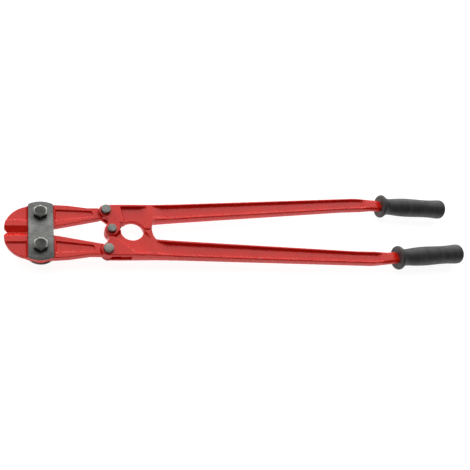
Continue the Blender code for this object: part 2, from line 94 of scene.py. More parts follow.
# Fasteners: radii, widths across flats, and heights from the mid plane
CLEARANCE = 0.3
BOLT_RADIUS, BOLT_FLATS = 6.0, 18.6
BOLT_TOP, BOLT_TIP = 17.0, -20.5
JAW_WASHER_RADIUS, JAW_WASHER_LOW, JAW_WASHER_HIGH = 9.6, -10.9, -8.7
JAW_NUT_LOW, JAW_NUT_HIGH = -17.7, -11.2
PIN_RADIUS, PIN_NUT_FLATS = 4.5, 13.0
PIN_TOP, PIN_TIP = 14.6, -17.0
LINK_HEAD_RADIUS, CENTRE_HEAD_RADIUS = 7.3, 6.6
PIN_WASHER_RADIUS, PIN_WASHER_LOW, PIN_WASHER_HIGH = 8.0, -10.5, -9.3
PIN_NUT_LOW, PIN_NUT_HIGH = -15.8, -10.8
SCREW_RADIUS, SCREW_Z, SCREW_ANGLE = 2.35, 5.0, math.radians(26.0)
SCREW_END, SCREW_TIP, SOCKET_FLOOR = 15.6, 5.0, 12.9

# Spacing of the grids that the forgings are shaped on
ARM_STEP, JAW_STEP = 0.8, 0.5


# ---------------------------------------------------------------- outlines
def arc(centre, radius, start, end, steps=24):
    """Points on a circle from start to end, in degrees, anticlockwise when end is larger."""
    angles = np.radians(np.linspace(start, end, steps + 1))
    return [(centre[0] + radius * math.cos(a), centre[1] + radius * math.sin(a)) for a in angles]


def rounded(corners, steps=8):
    """A closed outline with each (x, y, radius) corner replaced by its fillet arc."""
    points = []
    count = len(corners)
    for index, (x, y, radius) in enumerate(corners):
        here = Vector((x, y))
        before = Vector(corners[index - 1][:2]) - here
        after = Vector(corners[(index + 1) % count][:2]) - here
        half = before.angle(after) / 2
        if radius == 0 or half > math.radians(89):
            points.append((x, y))
            continue
        reach = radius / math.tan(half)
        centre = here + (before.normalized() + after.normalized()).normalized() * radius / math.sin(half)
        first = here + before.normalized() * reach - centre
        last = here + after.normalized() * reach - centre
        turn = math.atan2(first.cross(last), first.dot(last))
        for step in range(steps + 1):
            points.append(tuple(centre + Matrix.Rotation(turn * step / steps, 2) @ first))
    return points


def grip_point(along, across):
    """A point beside the upper grip's axis, along it from the collar and across it outwards."""
    c, s = math.cos(GRIP_ANGLE), math.sin(GRIP_ANGLE)
    return (GRIP_CENTRE[0] + along * c - across * s, GRIP_CENTRE[1] + along * s + across * c)


def arm_outline(notched):
    points = arc((LINK_X, LINK_Y), HEAD_RADIUS, 90.0, 235.0)
    points += rounded([(-12.8, 24.9, 0), (-4.4, 17.2, 5.0), (-6.2, 8.5, 0)])[1:-1]
    points += arc((0.0, 0.0), LUG_RADIUS, 127.0, 345.0, 36)
    if notched:
        points += [(11.9, 0.4), (13.2, 1.2), (13.2, 11.4), (18.7, 11.4)]
        eye_start = 134.0
    else:
        points += [(11.9, 0.4), (13.2, 0.6)]
        eye_start = 172.0
    points += arc((31.0, -1.4), 17.6, eye_start, 6.5, 32)
    points += rounded([(49.5, EDGE_GAP_HALF, 0), (60.4, EDGE_GAP_HALF, 1.2), (61.6, 9.5, 6.0),
                       (65.2, 16.8, 4.0), (404.0, 41.6, 90.0), (*grip_point(-22.0, -10.2), 30.0),
                       (*grip_point(-3.6, -9.8), 0.8), (*grip_point(-2.4, -CORE_WIDTH_HALF), 0.8),
                       (*grip_point(CORE_END, -CORE_WIDTH_HALF), 1.0),
                       (*grip_point(CORE_END, CORE_WIDTH_HALF), 1.0),
                       (*grip_point(-2.4, CORE_WIDTH_HALF), 0.8), (*grip_point(-3.6, 9.8), 0.8),
                       (*grip_point(-22.0, 10.4), 30.0), (430.0, 65.6, 60.0),
                       (60.0, 45.2, 80.0), (LINK_X, LINK_Y + HEAD_RADIUS, 0)])[:-1]
    return points


def beam_pocket():
    """The long recess between the arm's flanges, open at both ends, where its floor ramps up to the face."""
    return rounded([(56.0, 20.2, 0), (67.0, 20.8, 0), (404.0, 44.7, 60.0), (456.0, 47.2, 0), (456.0, 61.6, 0),
                    (430.0, 62.4, 30.0), (67.0, 42.4, 0), (56.0, 42.2, 0)])


def head_pocket_front():
    return rounded([(14.6, 40.6, 3.0), (17.0, 28.0, 8.0), (20.2, 8.0, 0), (50.0, -8.0, 0),
                    (50.0, 4.0, 3.0), (57.0, 14.0, 6.0), (57.0, 40.8, 4.0)])


def head_pocket_back():
    return rounded([(5.0, 15.0, 1.5), (2.0, 11.8, 0), (9.0, 4.0, 0), (50.0, -8.0, 0), (50.0, 4.0, 3.0),
                    (57.0, 14.0, 6.0), (57.0, 40.8, 4.0), (32.0, 39.8, 6.0), (20.0, 27.0, 10.0)])


def head_slot():
    return rounded([(-30.0, 16.0, 0), (3.0, 16.0, 0), (12.0, 25.0, 4.0), (12.0, 41.5, 0), (27.0, 41.7, 0),
                    (27.0, 60.0, 0), (-30.0, 60.0, 0)])


def jaw_outline():
    points = arc((-112.0, 5.0), 38.0, 104.0, 178.0)
    points += rounded([(-149.0, 3.4, 0), (-145.8, 0.05, 2.0), (-106.0, 0.05, 8.0),
                       (-80.0, 7.8, 4.0), (-13.0, 22.4, 0)])[1:]
    points += arc((LINK_X, LINK_Y), HEAD_RADIUS - 0.7, -118.0, 138.0, 30)
    points += rounded([(-17.0, 39.2, 0), (-33.0, 39.6, 20.0), (-62.0, 43.8, 20.0), (-82.0, 44.7, 0)])[1:]
    points += arc((BOLT_X, BOLT_Y), HUB_RADIUS, 62.0, 118.0, 12)
    return points


def tail_pocket():
    return rounded([(-80.2, 17.4, 0.8), (-26.0, 24.6, 4.5), (-26.0, 34.2, 4.5), (-80.2, 36.2, 0.8)])


def plate_outline(corner_y):
    middle = (PLATE_LEFT + PLATE_RIGHT) / 2
    half = (PLATE_RIGHT - PLATE_LEFT) / 2
    crown = PLATE_END_Y - corner_y
    radius = (half ** 2 + crown ** 2) / (2 * crown)
    spread = math.degrees(math.asin(half / radius))
    rise = PLATE_END_Y - radius
    return (arc((middle, rise), radius, 90 - spread, 90 + spread)
            + arc((middle, -rise), radius, 270 - spread, 270 + spread))


# ---------------------------------------------------------------- solids from distance fields
class Field:
    """A grid over a box, and distances on it. Negative is inside the metal."""

    def __init__(self, low, high, step):
        self.low, self.step = np.array(low, float), step
        self.axes = [np.arange(low[i] - 2 * step, high[i] + 2.5 * step, step) for i in range(3)]
        self.x, self.y = np.meshgrid(self.axes[0], self.axes[1], indexing="ij")
        self.z = self.axes[2][None, None, :]

    def outline(self, points):
        """Signed distance to a closed outline, over the grid's plan."""
        px, py = self.x, self.y
        nearest = np.full(px.shape, np.inf)
        inside = np.zeros(px.shape, bool)
        for (ax, ay), (bx, by) in zip(points, points[1:] + points[:1]):
            ex, ey = bx - ax, by - ay
            length = ex * ex + ey * ey
            if length < 1e-12:
                continue
            t = np.clip(((px - ax) * ex + (py - ay) * ey) / length, 0.0, 1.0)
            nearest = np.minimum(nearest, (px - ax - t * ex) ** 2 + (py - ay - t * ey) ** 2)
            crosses = (ay > py) != (by > py)
            if ey:
                inside ^= crosses & (px < ax + (py - ay) * ex / ey)
        distance = np.sqrt(nearest)
        return np.where(inside, -distance, distance)[:, :, None]

    def round_hole(self, centre, radius, play=0.0):
        """Distance to a hole's wall, the hole drawn out along Y by play to each side."""
        across = np.maximum(np.abs(self.y - centre[1]) - play, 0.0)
        return (np.hypot(self.x - centre[0], across) - radius)[:, :, None]

    def along(self, stations):
        """A value that follows (x, value) stations along the tool."""
        places, values = zip(*stations)
        return np.interp(self.x, places, values)[:, :, None]


def smooth_max(a, b, radius):
    """The larger distance, with the corner between the two rounded."""
    blend = np.clip(1.0 - np.abs(a - b) / radius, 0.0, 1.0)
    return np.maximum(a, b) + blend * blend * radius / 4


def cut(solid, hollow, radius=0.0):
    if radius:
        return smooth_max(solid, -hollow, radius)
    return np.maximum(solid, -hollow)


def pocket(field, outline, web, top, face, slope, fillet):
    """A recess in one face, with drafted walls and a fillet round its floor."""
    height = field.z * face
    wall = outline + slope * (top - height)
    return smooth_max(wall, web - height, fillet)


def skin(field, values):
    """Vertices and quads of the surface where values is zero, by surface nets."""
    solid = values < 0
    shape = tuple(n - 1 for n in values.shape)
    total = np.zeros(shape + (3,))
    count = np.zeros(shape)
    corners = [(0, 0, 0), (1, 0, 0), (0, 1, 0), (1, 1, 0), (0, 0, 1), (1, 0, 1), (0, 1, 1), (1, 1, 1)]

    def shifted(array, corner):
        return array[corner[0]:corner[0] + shape[0], corner[1]:corner[1] + shape[1],
                     corner[2]:corner[2] + shape[2]]

    for first in range(8):
        for axis in range(3):
            if corners[first][axis]:
                continue
            a = corners[first]
            b = tuple(c + (i == axis) for i, c in enumerate(a))
            changes = shifted(solid, a) != shifted(solid, b)
            va, vb = shifted(values, a), shifted(values, b)
            t = np.where(changes, va / np.where(changes, va - vb, 1.0), 0.0)
            for i in range(3):
                total[..., i] += changes * (a[i] + (t if i == axis else 0.0))
            count += changes
    used = count > 0
    where = np.argwhere(used)
    verts = where + total[used] / count[used][:, None]
    index = np.full(shape, -1)
    index[used] = np.arange(len(where))
    quads = []
    for axis in range(3):
        u, v = (axis + 1) % 3, (axis + 2) % 3
        before = [slice(None)] * 3
        after = [slice(None)] * 3
        before[axis], after[axis] = slice(0, -1), slice(1, None)
        first, second = solid[tuple(before)], solid[tuple(after)]
        for leaving in (True, False):
            edges = np.argwhere((first != second) & (first == leaving))
            edges = edges[(edges[:, u] > 0) & (edges[:, v] > 0) & (edges[:, u] < shape[u])
                          & (edges[:, v] < shape[v])]
            ring = []
            for du, dv in ((1, 1), (0, 1), (0, 0), (1, 0)):
                cell = edges.copy()
                cell[:, u] -= du
                cell[:, v] -= dv
                ring.append(index[tuple(cell.T)])
            ring = np.stack(ring, 1)
            quads.append(ring if leaving else ring[:, ::-1])
    start = np.array([axis[0] for axis in field.axes])
    return start + verts * field.step, np.concatenate(quads)


# ---------------------------------------------------------------- meshes
def to_row():
    return Matrix.Translation(TOOL) @ Matrix.Scale(MM, 4)


def turned_over():
    return Matrix.Rotation(math.pi, 4, "X")


def add_mesh(name, verts, faces, place=Matrix(), smooth_angle=None):
    """An object from points in millimetres in the tool frame, put through place first."""
    mesh = bpy.data.meshes.new(name)
    mesh.from_pydata([tuple(v) for v in verts], [], [tuple(int(i) for i in f) for f in faces])
    mesh.transform(to_row() @ place)
    mesh.validate()
    mesh.polygons.foreach_set("use_smooth", np.ones(len(mesh.polygons), bool))
    if smooth_angle is not None:
        mesh.set_sharp_from_angle(angle=math.radians(smooth_angle))
    mesh.update()
    item = bpy.data.objects.new(name, mesh)
    bpy.context.scene.collection.objects.link(item)
    return item


def lathe(profile, steps=64):
    """A surface turned round Z from (radius, z) points that run from the axis on top to the axis below."""
    verts, faces, rings = [], [], []
    for radius, z in profile:
        if radius < 1e-6:
            rings.append([len(verts)] * steps)
            verts.append((0.0, 0.0, z))
            continue
        rings.append(list(range(len(verts), len(verts) + steps)))
        for step in range(steps):
            angle = 2 * math.pi * step / steps
            verts.append((radius * math.cos(angle), radius * math.sin(angle), z))
    for upper, lower in zip(rings, rings[1:]):
        for step in range(steps):
            following = (step + 1) % steps
            face = [upper[step], lower[step], lower[following], upper[following]]
            face = [f for i, f in enumerate(face) if f not in face[:i]]
            if len(face) > 2:
                faces.append(face)
    return verts, faces


def hex_prism(flats, low, high, bore, both_ends, dish=0.0):
    """A hexagon with its flats along X and turned corners on top, and below too when both_ends is set."""
    steps = 72
    rim = flats / 2 - 1.4
    slope = math.tan(math.radians(26))
    angles = [2 * math.pi * step / steps for step in range(steps)]
    reach = [flats / 2 / math.cos((a + math.pi / 6) % (math.pi / 3) - math.pi / 6) for a in angles]
    verts, rings, faces = [], [], []

    def ring(radii, heights):
        rings.append(list(range(len(verts), len(verts) + steps)))
        for angle, radius, z in zip(angles, radii, heights):
            verts.append((radius * math.cos(angle), radius * math.sin(angle), z))

    if bore:
        ring([bore] * steps, [high] * steps)
    if dish:
        ring([rim * 0.66] * steps, [high - dish] * steps)
        ring([rim * 0.78] * steps, [high - 0.05] * steps)
    ring([rim - 0.6] * steps, [high] * steps)
    ring([rim] * steps, [high - 0.16] * steps)
    ring([r - 0.12 for r in reach], [high - 0.16 - (r - rim) * slope for r in reach])
    ring(reach, [high - 0.40 - (r - rim) * slope for r in reach])
    if both_ends:
        ring(reach, [low + 0.2 + (r - rim) * slope for r in reach])
        ring([rim] * steps, [low] * steps)
    else:
        ring(reach, [low + 0.6] * steps)
        ring([rim] * steps, [low + 0.5] * steps)
        ring([rim] * steps, [low] * steps)
    if bore:
        ring([bore] * steps, [low] * steps)
        rings.append(rings[0])
    else:
        faces += [tuple(rings[0]), tuple(reversed(rings[-1]))]
    for upper, lower in zip(rings, rings[1:]):
        for step in range(steps):
            following = (step + 1) % steps
            faces.append((upper[step], lower[step], lower[following], upper[following]))
    return verts, faces


def stacked(outline, layers):
    """A closed body whose section is the outline, moved inwards by each layer's inset."""
    points = np.array(outline)
    before, after = points - np.roll(points, 1, 0), np.roll(points, -1, 0) - points
    normals = []
    for edge in (before, after):
        edge = edge / np.linalg.norm(edge, axis=1)[:, None]
        normals.append(np.stack([-edge[:, 1], edge[:, 0]], 1))
    mitre = (normals[0] + normals[1]) / (1 + (normals[0] * normals[1]).sum(1))[:, None]
    count = len(points)
    verts, faces = [], []
    for z, inset in layers:
        ring = points + mitre * inset
        verts += [(x, y, z) for x, y in ring]
    for level in range(len(layers) - 1):
        low, high = level * count, (level + 1) * count
        for i in range(count):
            j = (i + 1) % count
            faces.append((low + i, low + j, high + j, high + i))
    faces.append(tuple(reversed(range(count))))
    faces.append(tuple(range((len(layers) - 1) * count, len(layers) * count)))
    return verts, faces


# ---------------------------------------------------------------- node materials
class Shader:
    """A material being wired: one Principled surface and the nodes that feed it."""

    def __init__(self, name):
        self.material = bpy.data.materials.new(name)
        self.material.use_nodes = True
        self.tree = self.material.node_tree
        self.surface = self.tree.nodes["Principled BSDF"]
        self.place = self.tree.nodes.new("ShaderNodeTexCoord").outputs["Object"]

    def node(self, kind, inputs=(), **settings):
        made = self.tree.nodes.new(kind)
        for key, value in settings.items():
            setattr(made, key, value)
        for key, value in dict(inputs).items():
            if isinstance(value, bpy.types.NodeSocket):
                self.tree.links.new(value, made.inputs[key])
            else:
                made.inputs[key].default_value = value
        return made

    def noise(self, scale, detail=4.0, roughness=0.55, stretch=(1.0, 1.0, 1.0)):
        mapped = self.node("ShaderNodeMapping", {"Vector": self.place, "Scale": stretch})
        made = self.node("ShaderNodeTexNoise", {"Vector": mapped.outputs[0], "Scale": scale,
                                                "Detail": detail, "Roughness": roughness})
        return made.outputs["Fac"]

    def ramp(self, factor, stops):
        made = self.node("ShaderNodeValToRGB", {"Fac": factor})
        band = made.color_ramp
        while len(band.elements) < len(stops):
            band.elements.new(0.5)
        for element, (position, value) in zip(band.elements, stops):
            element.position = position
            element.color = (*value, 1.0) if isinstance(value, tuple) else (value, value, value, 1.0)
        return made.outputs["Color"]

    def mix(self, factor, a, b, mode="MIX"):
        made = self.node("ShaderNodeMix", data_type="RGBA", blend_type=mode)
        for key, value in ((0, factor), (6, a), (7, b)):
            if isinstance(value, bpy.types.NodeSocket):
                self.tree.links.new(value, made.inputs[key])
            elif key == 0:
                made.inputs[key].default_value = value
            else:
                made.inputs[key].default_value = (*value, 1.0)
        return made.outputs[2]

    def maths(self, operation, a, b=0.0):
        made = self.node("ShaderNodeMath", {0: a, 1: b}, operation=operation)
        return made.outputs[0]

    def crevices(self, distance):
        """1 in the open, falling towards 0 in corners; the materials use it to paint shade."""
        made = self.node("ShaderNodeAmbientOcclusion", {"Distance": distance}, samples=8)
        return made.outputs["AO"]

    def edges(self, radius):
        """About 1 on worn edges and 0 on flats."""
        bevel = self.node("ShaderNodeBevel", {"Radius": radius}, samples=4)
        flat = self.node("ShaderNodeNewGeometry").outputs["Normal"]
        dot = self.node("ShaderNodeVectorMath", {0: bevel.outputs[0], 1: flat}, operation="DOT_PRODUCT")
        return self.maths("SUBTRACT", 1.0, dot.outputs["Value"])

    def bump(self, height, strength, distance):
        made = self.node("ShaderNodeBump", {"Height": height, "Strength": strength, "Distance": distance})
        return made.outputs["Normal"]

    def finish(self, **values):
        for key, value in values.items():
            socket = self.surface.inputs[key.replace("_", " ").title().replace("Ior", "IOR")]
            if isinstance(value, bpy.types.NodeSocket):
                self.tree.links.new(value, socket)
            else:
                socket.default_value = (*value, 1.0) if isinstance(value, tuple) else value
        return self.material


def red_enamel():
    """Glossy red enamel on a forging: slow colour drift, painted shade darkening its corners, faint orange
    peel.
    """
    s = Shader("red_enamel")
    drift = s.noise(26.0, 3.0)
    colour = s.ramp(drift, [(0.30, (0.67, 0.009, 0.003)), (0.55, (0.75, 0.013, 0.004)),
                            (0.75, (0.81, 0.020, 0.008))])
    specks = s.ramp(s.noise(420.0, 2.0), [(0.30, 0.88), (0.42, 1.0)])
    colour = s.mix(1.0, colour, specks, "MULTIPLY")
    # Painted shade: ambient occlusion darkens the enamel in corners and recesses.
    painted_corner_shade = s.ramp(s.crevices(0.003), [(0.10, 0.60), (0.45, 1.0)])
    colour = s.mix(1.0, colour, painted_corner_shade, "MULTIPLY")
    rough = s.ramp(s.noise(90.0, 5.0), [(0.30, 0.20), (0.70, 0.32)])
    lumps = s.maths("ADD", s.maths("MULTIPLY", s.noise(110.0, 3.0), 0.8),
                    s.maths("MULTIPLY", s.noise(700.0, 2.0), 0.2))
    return s.finish(base_color=colour, roughness=rough, normal=s.bump(lumps, 0.15, 0.0004),
                    ior=1.5, specular_ior_level=0.36)


def steel(name, dark, light, metallic, rough_low, rough_high, worn_and_glint, wear_strength, grain, chamfer_glint,
          painted_mid_sheen=False):
    """Treated steel: mottled, rubbed bright along its edges, fine grain, painted corner shade and a painted
    glint on its chamfers.
    """
    s = Shader(name)
    mottle = s.noise(70.0, 6.0, 0.65)
    fine = s.noise(600.0, 3.0, 0.6, grain)
    colour = s.ramp(mottle, [(0.32, dark), (0.68, light)])
    colour = s.mix(0.35, colour, s.ramp(fine, [(0.30, 0.25), (0.70, 0.80)]), "OVERLAY")
    # Painted shade: ambient occlusion darkens the steel in corners and where parts meet.
    painted_corner_shade = s.ramp(s.crevices(0.004), [(0.10, 0.45), (0.80, 1.0)])
    colour = s.mix(1.0, colour, painted_corner_shade, "MULTIPLY")
    # Painted sheen: the plate is darkened towards both ends so that its middle reads lighter, as if the light
    # reflects there.
    if painted_mid_sheen:
        across = s.node("ShaderNodeSeparateXYZ", {0: s.place}).outputs["Y"]
        ends = s.maths("ADD", s.maths("ABSOLUTE", across), s.maths("MULTIPLY", s.noise(45.0, 3.0), 0.012))
        colour = s.mix(1.0, colour, s.ramp(s.maths("MULTIPLY", ends, 20.0), [(0.35, 1.0), (0.85, 0.55)]),
                       "MULTIPLY")
    wear_and_glint = s.maths("MULTIPLY", s.edges(0.0007), s.maths("ADD", s.noise(260.0, 4.0), wear_strength))
    wear_and_glint = s.ramp(wear_and_glint, [(0.04, 0.0), (0.22, 1.0)])
    # Painted highlight: chamfer faces are lightened with the worn colour as a glint, on top of the real edge
    # wear.
    facing = s.node("ShaderNodeNewGeometry").outputs["Normal"]
    tilt = s.node("ShaderNodeSeparateXYZ", {0: facing}).outputs["Z"]
    chamfer = s.ramp(s.maths("ABSOLUTE", tilt), [(0.70, 0.0), (0.82, 1.0), (0.93, 1.0), (0.98, 0.0)])
    wear_and_glint = s.mix(chamfer_glint, wear_and_glint, s.mix(1.0, chamfer, s.ramp(fine, [(0.3, 0.4), (0.6, 1.0)]), "MULTIPLY"),
                 "LIGHTEN")
    colour = s.mix(wear_and_glint, colour, worn_and_glint)
    rough = s.ramp(s.maths("ADD", mottle, s.maths("MULTIPLY", fine, 0.4)),
                   [(0.45, rough_high), (0.95, rough_low)])
    return s.finish(base_color=colour, metallic=metallic, roughness=rough,
                    normal=s.bump(s.maths("ADD", mottle, fine), 0.18, 0.0003))


def rubber():
    """Matt dark grey rubber with fine moulded rings round the grip and a dusty bloom."""
    s = Shader("grip_rubber")
    bloom = s.noise(60.0, 5.0, 0.6)
    colour = s.ramp(bloom, [(0.30, (0.036, 0.035, 0.036)), (0.70, (0.062, 0.060, 0.060))])
    turned = s.node("ShaderNodeMapping", {"Vector": s.place, "Scale": (1.0, 0.04, 0.04)})
    rings = s.node("ShaderNodeTexNoise", {"Vector": turned.outputs[0], "Scale": 300.0, "Detail": 2.0})
    colour = s.mix(0.6, colour, s.ramp(rings.outputs["Fac"], [(0.3, 0.22), (0.7, 0.80)]), "OVERLAY")
    rough = s.ramp(bloom, [(0.3, 0.56), (0.7, 0.44)])
    lumps = s.maths("ADD", rings.outputs["Fac"], s.maths("MULTIPLY", s.noise(1500.0, 2.0), 0.5))
    return s.finish(base_color=colour, roughness=rough, normal=s.bump(lumps, 0.5, 0.0004),
                    specular_ior_level=0.45)


MATERIALS = {
    "red_enamel": red_enamel(),
    "plate_steel": steel("plate_steel", (0.150, 0.150, 0.143), (0.250, 0.250, 0.238), 0.35, 0.38, 0.58,
                         (0.33, 0.33, 0.32), 0.2, (0.25, 1.0, 1.0), 0.0, True),
    "pin_steel": steel("pin_steel", (0.09, 0.092, 0.085), (0.21, 0.21, 0.195), 0.75, 0.30, 0.50,
                       (0.42, 0.42, 0.40), 0.5, (1.0, 1.0, 1.0), 0.2),
    "dark_steel": steel("dark_steel", (0.030, 0.030, 0.029), (0.075, 0.075, 0.070), 0.85, 0.28, 0.46,
                        (0.40, 0.40, 0.375), 0.9, (0.3, 1.0, 1.0), 0.7),
    "grip_rubber": rubber(),
}


def place_piece(item, body, slot, *nodes):
    """Gives a piece its finish, its body and the CAD nodes that it stands for."""
    item.data.materials.append(MATERIALS[slot])
    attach(item, body)
    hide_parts(*nodes)
    return item


# ---------------------------------------------------------------- forgings
def arm_mesh(notched):
    """The upper arm, its lug in the front half; notched clears the lock screw's end."""
    low = (LINK_X - HEAD_RADIUS, -LUG_RADIUS, -HEAD_HALF)
    high = (GRIP_CENTRE[0] + CORE_END + 2.0, 67.0, HEAD_HALF)
    f = Field(low, high, ARM_STEP)
    half = f.along([(36.0, HEAD_HALF), (62.0, 8.2), (100.0, 7.0), (300.0, 6.2), (476.0, 5.8),
                    (480.4, CORE_HEIGHT_HALF)])
    edge = f.along([(40.0, 0.9), (90.0, 1.0), (440.0, 1.6), (462.0, 5.0)])
    side = f.outline(arm_outline(notched)) + 0.07 * np.abs(f.z) - 0.3
    solid = smooth_max(side, np.abs(f.z) - half, edge)
    head_web = f.along([(45.0, HEAD_WEB_HALF), (58.0, 8.6)])
    beam_web = f.along([(61.0, 9.0), (82.0, BEAM_WEB_HALF), (443.0, BEAM_WEB_HALF), (452.0, 6.2)])
    for face, head in ((1, head_pocket_front()), (-1, head_pocket_back())):
        solid = cut(solid, pocket(f, f.outline(head), head_web, half, face, 0.22, 2.0), 0.6)
        solid = cut(solid, pocket(f, f.outline(beam_pocket()), beam_web, half, face, 0.30, 2.4), 0.6)
    lap = np.maximum(f.round_hole((0.0, 0.0), LAP_RADIUS), f.z - EDGE_GAP_HALF)
    slot = np.maximum(f.outline(head_slot()), np.abs(f.z) - SLOT_HALF)
    solid = cut(cut(solid, lap, 0.5), slot, 0.4)
    for centre in ((LINK_X, LINK_Y), (0.0, 0.0)):
        solid = cut(solid, f.round_hole(centre, PIN_BORE))
    return skin(f, solid)


def jaw_mesh(play):
    """The upper jaw, with its bevels, cheeks, hub, recessed tail and tang; play lets its link pin slide."""
    f = Field((-150.5, -0.2, -EDGE_STRIP_HALF), (LINK_X + HEAD_RADIUS, 48.5, EDGE_STRIP_HALF), JAW_STEP)
    depth = np.abs(f.z)
    plan_x, plan_y = f.x[:, :, None], f.y[:, :, None]
    outline = f.outline(jaw_outline())
    blade = np.clip((-108.0 - plan_x) / 4.0, 0.0, 1.0) * np.clip((14.0 - plan_y) / 4.0, 0.0, 1.0)
    rounding = 1.2 - 1.1 * blade
    solid = smooth_max(outline + 0.05 * depth - 0.2 * (1 - blade), depth - EDGE_STRIP_HALF, rounding)
    rise = (EDGE_STRIP_HALF - 0.5) / (BEVEL_DEPTH - EDGE_GAP_HALF)
    bevel = (depth - 0.45 - (plan_y - EDGE_GAP_HALF) * rise) / math.hypot(1.0, rise)
    solid = smooth_max(solid, np.where(plan_x < -104.0, bevel, -20.0), 0.35)
    cheek = f.outline([(-170.0, STRIP_DEPTH), (-119.0, STRIP_DEPTH), (-119.0, 70.0), (-170.0, 70.0)])
    hub = f.outline([(-118.6, -6.0), (-77.4, -6.0), (-81.6, BOLT_Y), (-81.6, 60.0), (-118.6, 60.0)])
    tail = f.outline([(-100.0, -6.0), (30.0, -6.0), (30.0, 60.0), (-100.0, 60.0)])
    tang = f.round_hole((LINK_X, LINK_Y), HEAD_RADIUS + 1.4, play)
    recess = f.outline(tail_pocket())
    for face in (1, -1):
        height = f.z * face
        solid = cut(solid, pocket(f, cheek, CHEEK_HALF, EDGE_STRIP_HALF, face, 0.55, 0.9), 0.4)
        solid = cut(solid, np.maximum(tail, TAIL_HALF - height), 0.4)
        solid = cut(solid, np.maximum(hub, HUB_HALF - height))
        solid = cut(solid, np.maximum(tang, TANG_HALF - height), 0.4)
        solid = cut(solid, pocket(f, recess, TAIL_WEB_HALF, TAIL_HALF, face, 0.35, 1.2), 0.5)
    solid = cut(solid, f.round_hole((BOLT_X, BOLT_Y), BOLT_BORE))
    solid = cut(solid, f.round_hole((LINK_X, LINK_Y), PIN_BORE + (0.4 if play else 0.0), play))
    return skin(f, solid)


for name, make, option, place in (("upper_arm", arm_mesh, True, Matrix()),
                                  ("lower_arm", arm_mesh, False, turned_over()),
                                  ("upper_jaw", jaw_mesh, LINK_PLAY, Matrix()),
                                  ("lower_jaw", jaw_mesh, 0.0, turned_over())):
    place_piece(add_mesh(name + "_forging", *make(option), place), name, "red_enamel", name)


# ---------------------------------------------------------------- plates and fasteners
def at(x, y, z=0.0):
    return Matrix.Translation((x, y, z))


def plate_mesh(corner_y):
    """The front plate, chamfered along its inner edge and rounded over along its outer edge."""
    low, high = PLATE_INNER, PLATE_OUTER
    layers = [(low, 0.6), (low + 0.6, 0.0), (high - 0.9, 0.0), (high - 0.35, 0.18), (high - 0.08, 0.5),
              (high, 0.95)]
    return stacked(plate_outline(corner_y), layers)


for name, corner_y, place in (("front_plate", FRONT_CORNER_Y, Matrix()),
                              ("rear_plate", REAR_CORNER_Y, turned_over())):
    item = add_mesh(name + "_stamping", *plate_mesh(corner_y), place, 35.0)
    place_piece(item, "plates", "plate_steel", name)


def threaded(radius, top, tip):
    """A profile that runs down a threaded shank to its chamfered tip."""
    points = []
    z = top
    while z > tip + 1.6:
        points += [(radius, z), (radius, z - 0.5), (radius - 0.55, z - 0.85), (radius - 0.55, z - 1.0)]
        z -= 1.35
    return points + [(radius - 0.3, tip + 0.9), (radius - 1.2, tip), (0.0, tip)]


def join(*parts):
    """Several (verts, faces) as one."""
    verts, faces = [], []
    for part_verts, part_faces in parts:
        start = len(verts)
        verts += list(part_verts)
        faces += [tuple(i + start for i in face) for face in part_faces]
    return verts, faces


def washer_profile(inner, outer, low, high, chamfer=0.3):
    """A washer's section, from the bore's top edge round to the bore's top edge again."""
    return [(inner, high), (outer - chamfer, high), (outer, high - chamfer), (outer, low + chamfer),
            (outer - chamfer, low), (inner, low), (inner, high)]


for side, y in (("upper", BOLT_Y), ("lower", -BOLT_Y)):
    place = at(BOLT_X, y)
    head = hex_prism(BOLT_FLATS, PLATE_OUTER + CLEARANCE, BOLT_TOP, 0.0, False, 0.3)
    shank = lathe([(0.0, 9.4), (BOLT_RADIUS, 9.4)] + threaded(BOLT_RADIUS, -9.2, BOLT_TIP))
    place_piece(add_mesh(side + "_jaw_bolt_detail", *join(head, shank), place, 28.0), "plates", "dark_steel",
                side + "_jaw_bolt")
    bore = BOLT_RADIUS + CLEARANCE
    washer = lathe(washer_profile(bore, JAW_WASHER_RADIUS, JAW_WASHER_LOW, JAW_WASHER_HIGH))
    place_piece(add_mesh(side + "_jaw_washer_detail", *washer, place, 28.0), "plates", "dark_steel",
                side + "_jaw_washer")
    nut = hex_prism(BOLT_FLATS, JAW_NUT_LOW, JAW_NUT_HIGH, bore, True)
    place_piece(add_mesh(side + "_jaw_nut_detail", *nut, place, 28.0), "plates", "dark_steel",
                side + "_jaw_nut")

PINS = (("upper_link", LINK_X, LINK_Y, LINK_HEAD_RADIUS, "upper_arm"),
        ("lower_link", LINK_X, -LINK_Y, LINK_HEAD_RADIUS, "lower_arm"),
        ("centre_pivot", 0.0, 0.0, CENTRE_HEAD_RADIUS, "lower_arm"))
for label, x, y, radius, body in PINS:
    base = HEAD_HALF + CLEARANCE
    head = [(0.0, PIN_TOP), (radius * 0.45, PIN_TOP - 0.03), (radius * 0.80, PIN_TOP - 0.15),
            (radius - 0.45, PIN_TOP - 0.38), (radius - 0.12, PIN_TOP - 0.72), (radius, PIN_TOP - 1.2),
            (radius, base + 0.25), (radius - 0.25, base), (PIN_RADIUS, base)]
    pin = lathe(head + threaded(PIN_RADIUS, -9.6, PIN_TIP))
    place_piece(add_mesh(label + "_pin_detail", *pin, at(x, y), 28.0), body, "pin_steel", label + "_pin")
    bore = PIN_RADIUS + CLEARANCE
    washer = lathe(washer_profile(bore, PIN_WASHER_RADIUS, PIN_WASHER_LOW, PIN_WASHER_HIGH, 0.2))
    place_piece(add_mesh(label + "_washer_detail", *washer, at(x, y), 28.0), body, "dark_steel",
                label + "_washer")
    nut = hex_prism(PIN_NUT_FLATS, PIN_NUT_LOW, PIN_NUT_HIGH, bore, True)
    place_piece(add_mesh(label + "_nut_detail", *nut, at(x, y), 28.0), body, "dark_steel", label + "_nut")

